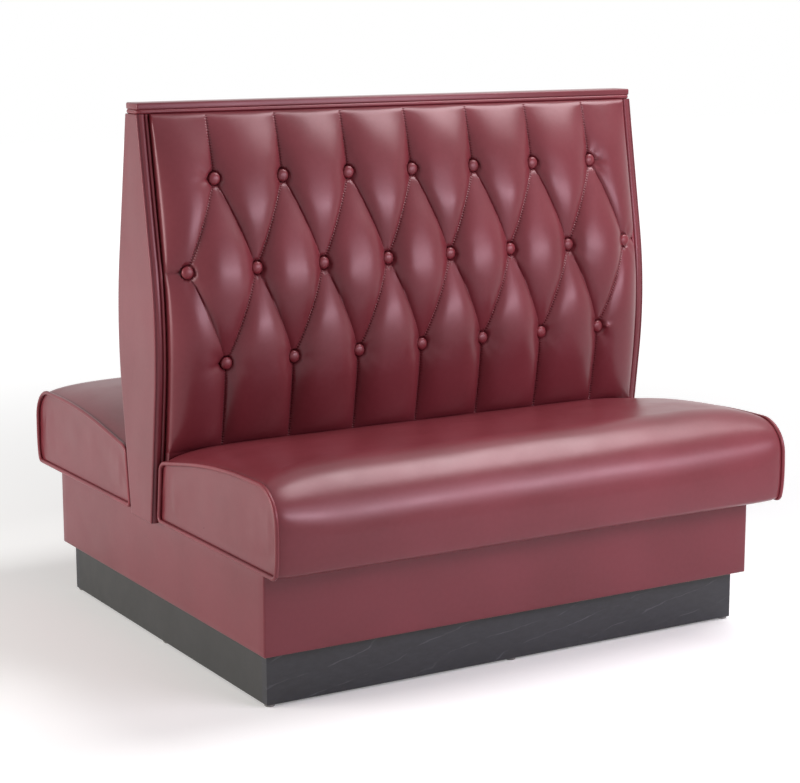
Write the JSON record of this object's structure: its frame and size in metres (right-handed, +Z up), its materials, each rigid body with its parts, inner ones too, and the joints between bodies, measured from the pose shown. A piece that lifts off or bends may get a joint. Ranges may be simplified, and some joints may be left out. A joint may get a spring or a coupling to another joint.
{
  "type": "double booth seat",
  "caption": "Double-sided restaurant booth bench: curved button-tufted back, crowned lift-off seats with piped ends, upholstered box base and recessed dark plinth.",
  "frame": {"origin": "on the floor under the middle of the booth", "axes": "+X along the bench, the front seat faces -Y, +Z up"},
  "size_m": [1.152, 1.1212, 1.067],
  "materials": {
    "vinyl": "satin",
    "vinyl_welt": "satin",
    "vinyl_button": "satin",
    "foam": "open cell foam",
    "plywood": "bare plywood",
    "solid_wood": "bare softwood",
    "plinth_laminate": "black laminate on plywood",
    "glide_nylon": "nylon nail-on glide",
    "felt": "pressed felt",
    "steel": "zinc plated"
  },
  "bodies": {
    "booth": {"back_blocks": "solid_wood", "back_board_front": "plywood", "back_board_rear": "plywood", "back_top_rail": "solid_wood", "back_welts": "vinyl_welt", "base_cleats": "solid_wood", "base_corner_posts": "solid_wood", "base_floor": "plywood", "base_front_panel": "plywood", "base_rear_panel": "plywood", "base_vinyl": "vinyl", "buttons_front": "vinyl_button", "buttons_rear": "vinyl_button", "cap_board": "plywood", "cap_cover": "vinyl", "cap_welt": "vinyl_welt", "end_board_left": "plywood", "end_board_right": "plywood", "end_cover_left": "vinyl", "end_cover_right": "vinyl", "end_frame_left": "plywood", "end_frame_right": "plywood", "end_screws": "steel", "end_spacer_left": "plywood", "end_spacer_right": "plywood", "glides": "glide_nylon", "plinth_corner_blocks": "solid_wood", "plinth_front": "plinth_laminate", "plinth_lag_screws": "steel", "plinth_left": "plinth_laminate", "plinth_rear": "plinth_laminate", "plinth_right": "plinth_laminate", "plinth_stretcher": "plywood", "rib_centre": "plywood", "rib_left": "plywood", "rib_right": "plywood", "seat_bumpers": "felt", "tufted_pad_front": "vinyl", "tufted_pad_rear": "vinyl"},
    "front_seat": {"front_seat_cleats": "solid_wood", "front_seat_cover": "vinyl", "front_seat_deck": "plywood", "front_seat_end_skins": "vinyl", "front_seat_foam": "foam", "front_seat_rail_front": "plywood", "front_seat_rail_left": "plywood", "front_seat_rail_rear": "plywood", "front_seat_rail_right": "plywood", "front_seat_welts": "vinyl_welt"},
    "rear_seat": {"rear_seat_cleats": "solid_wood", "rear_seat_cover": "vinyl", "rear_seat_deck": "plywood", "rear_seat_end_skins": "vinyl", "rear_seat_foam": "foam", "rear_seat_rail_front": "plywood", "rear_seat_rail_left": "plywood", "rear_seat_rail_rear": "plywood", "rear_seat_rail_right": "plywood", "rear_seat_welts": "vinyl_welt"}
  },
  "joints": [
    {"name": "front_seat_lift", "type": "slide", "parent": "booth", "child": "front_seat", "axis": [0, -0.7071, 0.7071], "range_m": [0, 0.3]},
    {"name": "rear_seat_lift", "type": "slide", "parent": "booth", "child": "rear_seat", "axis": [0, 0.7071, 0.7071], "range_m": [0, 0.3]}
  ]
}
